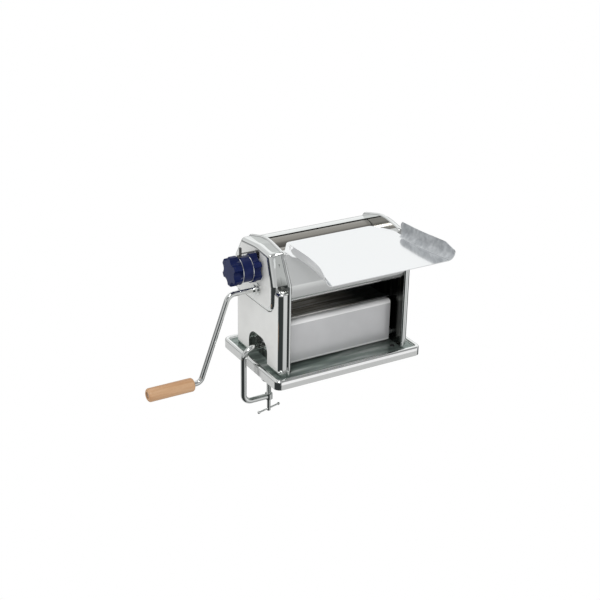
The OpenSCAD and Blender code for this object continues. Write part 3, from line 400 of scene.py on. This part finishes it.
# %% [markdown]
# The loaded meshes are made of flat triangles that don't share their corners. Smooth shading
# needs shared corners, and crisp edges need them apart. Cutting each mesh by hand would change
# it, so three modifiers do it: the first joins corners that coincide, the second parts them
# again along sharp edges, and the third keeps large flat faces flat in the shading.

# %% Smooth the shading and dress every part
WELD_GAP = 2e-6
CRISP = math.radians(32)


def smooth(part):
    part.data.shade_smooth()
    joined = part.modifiers.new("joined", "WELD")
    joined.merge_threshold = WELD_GAP
    crisp = part.modifiers.new("crisp", "EDGE_SPLIT")
    crisp.split_angle = CRISP
    crisp.use_edge_sharp = False
    even = part.modifiers.new("even_shading", "WEIGHTED_NORMAL")
    even.mode = "FACE_AREA_WITH_ANGLE"


for name, part in nodes.items():
    part.data.materials.clear()
    part.data.materials.append(special.get(name, finishes[slots[name]]))
    smooth(part)
print(len(nodes), "parts dressed")

# %% [markdown]
# ## The feed tray
# The tray is bent from one sheet: a flat floor and two wings that flare towards the front. Its
# construction part carries that form, but closes the front end with triangles that reach across
# the hollow between the wings. That end is one outline, and Blender can fill an outline by
# itself. So the shown tray copies the mesh, drops the faces of that end and fills it again.

# %% Show a mesh in place of a construction part
def show(name, mesh, material):
    piece = bpy.data.objects.new(name, mesh)
    bpy.context.scene.collection.objects.link(piece)
    mesh.materials.clear()
    mesh.materials.append(material)
    smooth(piece)
    return piece


print("stand-ins ready")

# %% Take off the tray's front end and fill it again
END_DEPTH = 1e-5
sheet = bmesh.new()
sheet.from_mesh(nodes["feed_tray"].data)
bmesh.ops.remove_doubles(sheet, verts=sheet.verts, dist=WELD_GAP)
front_y = min(v.co.y for v in sheet.verts)
end_faces = [f for f in sheet.faces if all(v.co.y < front_y + END_DEPTH for v in f.verts)]
bmesh.ops.delete(sheet, geom=end_faces, context="FACES_ONLY")
bmesh.ops.delete(sheet, geom=[e for e in sheet.edges if e.is_wire], context="EDGES")
rim = [e for e in sheet.edges if e.is_boundary]
bmesh.ops.triangle_fill(sheet, edges=rim, use_beauty=True, normal=(0, -1, 0))
print("tray:", len(end_faces), "faces dropped,", len(rim), "edges filled")

# %% The tray
tray_mesh = bpy.data.meshes.new("tray")
sheet.to_mesh(tray_mesh)
sheet.free()
tray = show("tray", tray_mesh, tray_steel)
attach(tray, "tray")
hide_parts("feed_tray")
print("tray:", len(tray_mesh.polygons), "faces")

# %% [markdown]
# ## The disc springs
# A stack of disc springs stands on the spindle's nut and pushes the knob home. A real stack
# gives way as the knob is pulled. This one is rigid, so it is drawn a little shorter than its
# construction part, and the knob's inner ring then clears it all the way. The nut's end stays
# where it is, and every other point moves by its share.

# %% The disc springs
SHORTER = 0.0009
stack = nodes["knob_spring"].data.copy()
nut_end = min(v.co.x for v in stack.vertices)
ring_end = max(v.co.x for v in stack.vertices)
for v in stack.vertices:
    v.co.x -= SHORTER * (v.co.x - nut_end) / (ring_end - nut_end)
springs = show("springs", stack, finishes[slots["knob_spring"]])
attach(springs, "cam")
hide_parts("knob_spring")
print("springs:", round(1000 * (ring_end - nut_end - SHORTER), 2), "mm long")

# %% [markdown]
# ## Studio
# Polished steel has hardly a colour of its own. It shows what stands around it, so the studio
# matters more than the metal's colour. Real panels could be built around the machine, but they
# would have to be kept out of the picture. A world that looks at the ray's direction does the
# same with nothing to hide: light walls, a grey floor, a dark line at the horizon, and dark
# cards below it that draw the dark lines along the rounded edges.

# %% Start the surroundings
world = bpy.data.worlds.new("studio")
bpy.context.scene.world = world
world.use_nodes = True
room = world.node_tree
coords = room.nodes.new("ShaderNodeTexCoord")
ray = room.nodes.new("ShaderNodeSeparateXYZ")
feed(room, coords.outputs["Generated"], ray.inputs["Vector"])
ray_x, ray_y, ray_z = ray.outputs
print("world:", world.name)

# %% [markdown]
# The walls are ramps over the ray's height, from -1 straight down to 1 straight up. The front,
# the back and the left part of the back each have levels of their own, and the three run softly
# into each other.

# %% Walls
RED_SHARE = 0.985
FRONT_WALL = [
    (-1.0, 0.36), (-0.6, 0.40), (-0.5, 0.47), (-0.42, 0.64), (-0.25, 0.80), (-0.08, 0.8),
    (0.1, 0.55), (0.2, 0.46), (0.32, 0.5), (0.42, 0.22), (0.7, 0.26), (0.97, 0.5),
]
BACK_FLOOR = [
    (-1.0, 0.70), (-0.5, 0.68), (-0.38, 0.66), (-0.2, 0.45), (-0.1, 0.40), (-0.04, 0.12), (0.04, 0.15),
]
BACK_WALL = [(0.10, 0.72), (0.2, 0.90), (0.3, 0.97), (0.6, 0.97), (1.0, 0.85)]
LEFT_BACK_WALL = [(0.10, 0.62), (0.25, 0.72), (0.45, 0.62), (0.7, 0.72), (1.0, 0.8)]


def by_height(levels):
    place = calc(room, "MULTIPLY", calc(room, "ADD", ray_z, 1.0), 0.5)
    stops = [((height + 1) / 2, (level * RED_SHARE, level, level)) for height, level in levels]
    return ramp(room, place, stops)


to_the_right = between(room, ray_x, 0.0, 0.25)
behind = between(room, ray_y, -0.15, 0.153)
left_back, right_back = by_height(BACK_FLOOR + LEFT_BACK_WALL), by_height(BACK_FLOOR + BACK_WALL)
back = mixed(room, to_the_right, left_back, right_back)
seen = mixed(room, behind, by_height(FRONT_WALL), back)
print("walls:", len(FRONT_WALL), "levels in front")

# %% [markdown]
# A card is a stretch of compass directions, given by its middle and its half width in degrees.
# One wide card stands at the left and one narrow card at the right, and both lie below the
# horizon, so that they don't darken what faces up.

# %% Dark cards
CARD_COLOUR = (0.035, 0.04, 0.04)
CARDS = [(-120, 72, 18), (82, 24, 8)]
NEARLY_ONE = 1.0001


def card(middle, half_width, soft):
    """1 within half_width of the middle, fading over its last soft degrees."""
    across = calc(room, "MULTIPLY", ray_x, math.sin(math.radians(middle)))
    along = calc(room, "MULTIPLY", ray_y, math.cos(math.radians(middle)))
    flat = calc(room, "SQRT", calc(room, "SUBTRACT", NEARLY_ONE, calc(room, "MULTIPLY", ray_z, ray_z)))
    cosine = calc(room, "DIVIDE", calc(room, "ADD", across, along), flat)
    edge = math.cos(math.radians(half_width))
    return between(room, cosine, edge, math.cos(math.radians(half_width - soft)))


below = between(room, ray_z, 0.02, -0.0633)
for middle, half_width, soft in CARDS:
    dark = calc(room, "MULTIPLY", card(middle, half_width, soft), below)
    seen = mixed(room, dark, seen, CARD_COLOUR)
print(len(CARDS), "dark cards")

# %% [markdown]
# The camera itself has to see a white backdrop, and satin and painted parts should get even
# light. The light path tells these rays from the mirror rays, so each kind gets its own level.

# %% Backdrop
EVEN = (0.8, 0.8, 0.8)
WHITE = (1, 1, 1)
background = room.nodes["Background"]
path = room.nodes.new("ShaderNodeLightPath")
seen = mixed(room, path.outputs["Is Diffuse Ray"], seen, EVEN)
seen = mixed(room, path.outputs["Is Camera Ray"], seen, WHITE)
feed(room, seen, background.inputs["Color"])
feed(room, 1.0, background.inputs["Strength"])
print("backdrop: white")

# %% [markdown]
# ## Lamp
# The surroundings light everything evenly, which leaves forms flat. One soft lamp high at the
# front left gives them a lighter and a darker side.

# %% Key lamp
KEY_PLACE, KEY_AIM = Vector((-0.9, -0.9, 1.5)), Vector((0, 0, 0.1))
key_light = bpy.data.lights.new("key", "AREA")
key_light.shape = "SQUARE"
key_light.size = 0.5
key_light.energy = 7
key = bpy.data.objects.new("key", key_light)
bpy.context.scene.collection.objects.link(key)
key.location = KEY_PLACE
key.rotation_euler = (KEY_AIM - KEY_PLACE).to_track_quat("-Z", "Y").to_euler()
print("key lamp:", key_light.energy, "W")

# %% [markdown]
# ## Camera
# The camera stands at the front left and looks down with a long lens, which keeps the machine's
# edges nearly parallel. A camera looks down along its own -Z. So it is first rolled about that
# axis, then raised until it looks ahead and a little down, then turned to the right.

# %% Camera
CAMERA_PLACE = (-1.0275, -1.6628, 0.980)
TURN, TILT, ROLL = math.radians(30.577), math.radians(24.358), math.radians(1.064)
camera = bpy.data.cameras.new("camera")
camera.sensor_width = 36
camera.lens = 75.576
camera.clip_start = 0.05
view = bpy.data.objects.new("camera", camera)
bpy.context.scene.collection.objects.link(view)
raised = Matrix.Rotation(math.radians(90) - TILT, 4, "X")
rolled = Matrix.Rotation(ROLL, 4, "Z")
turned = Matrix.Rotation(-TURN, 4, "Z")
view.matrix_world = Matrix.Translation(CAMERA_PLACE) @ turned @ raised @ rolled
bpy.context.scene.camera = view
bpy.context.scene.view_settings.view_transform = "Standard"
print("camera at", [round(v, 3) for v in view.location], "with a lens of", round(camera.lens, 1), "mm")
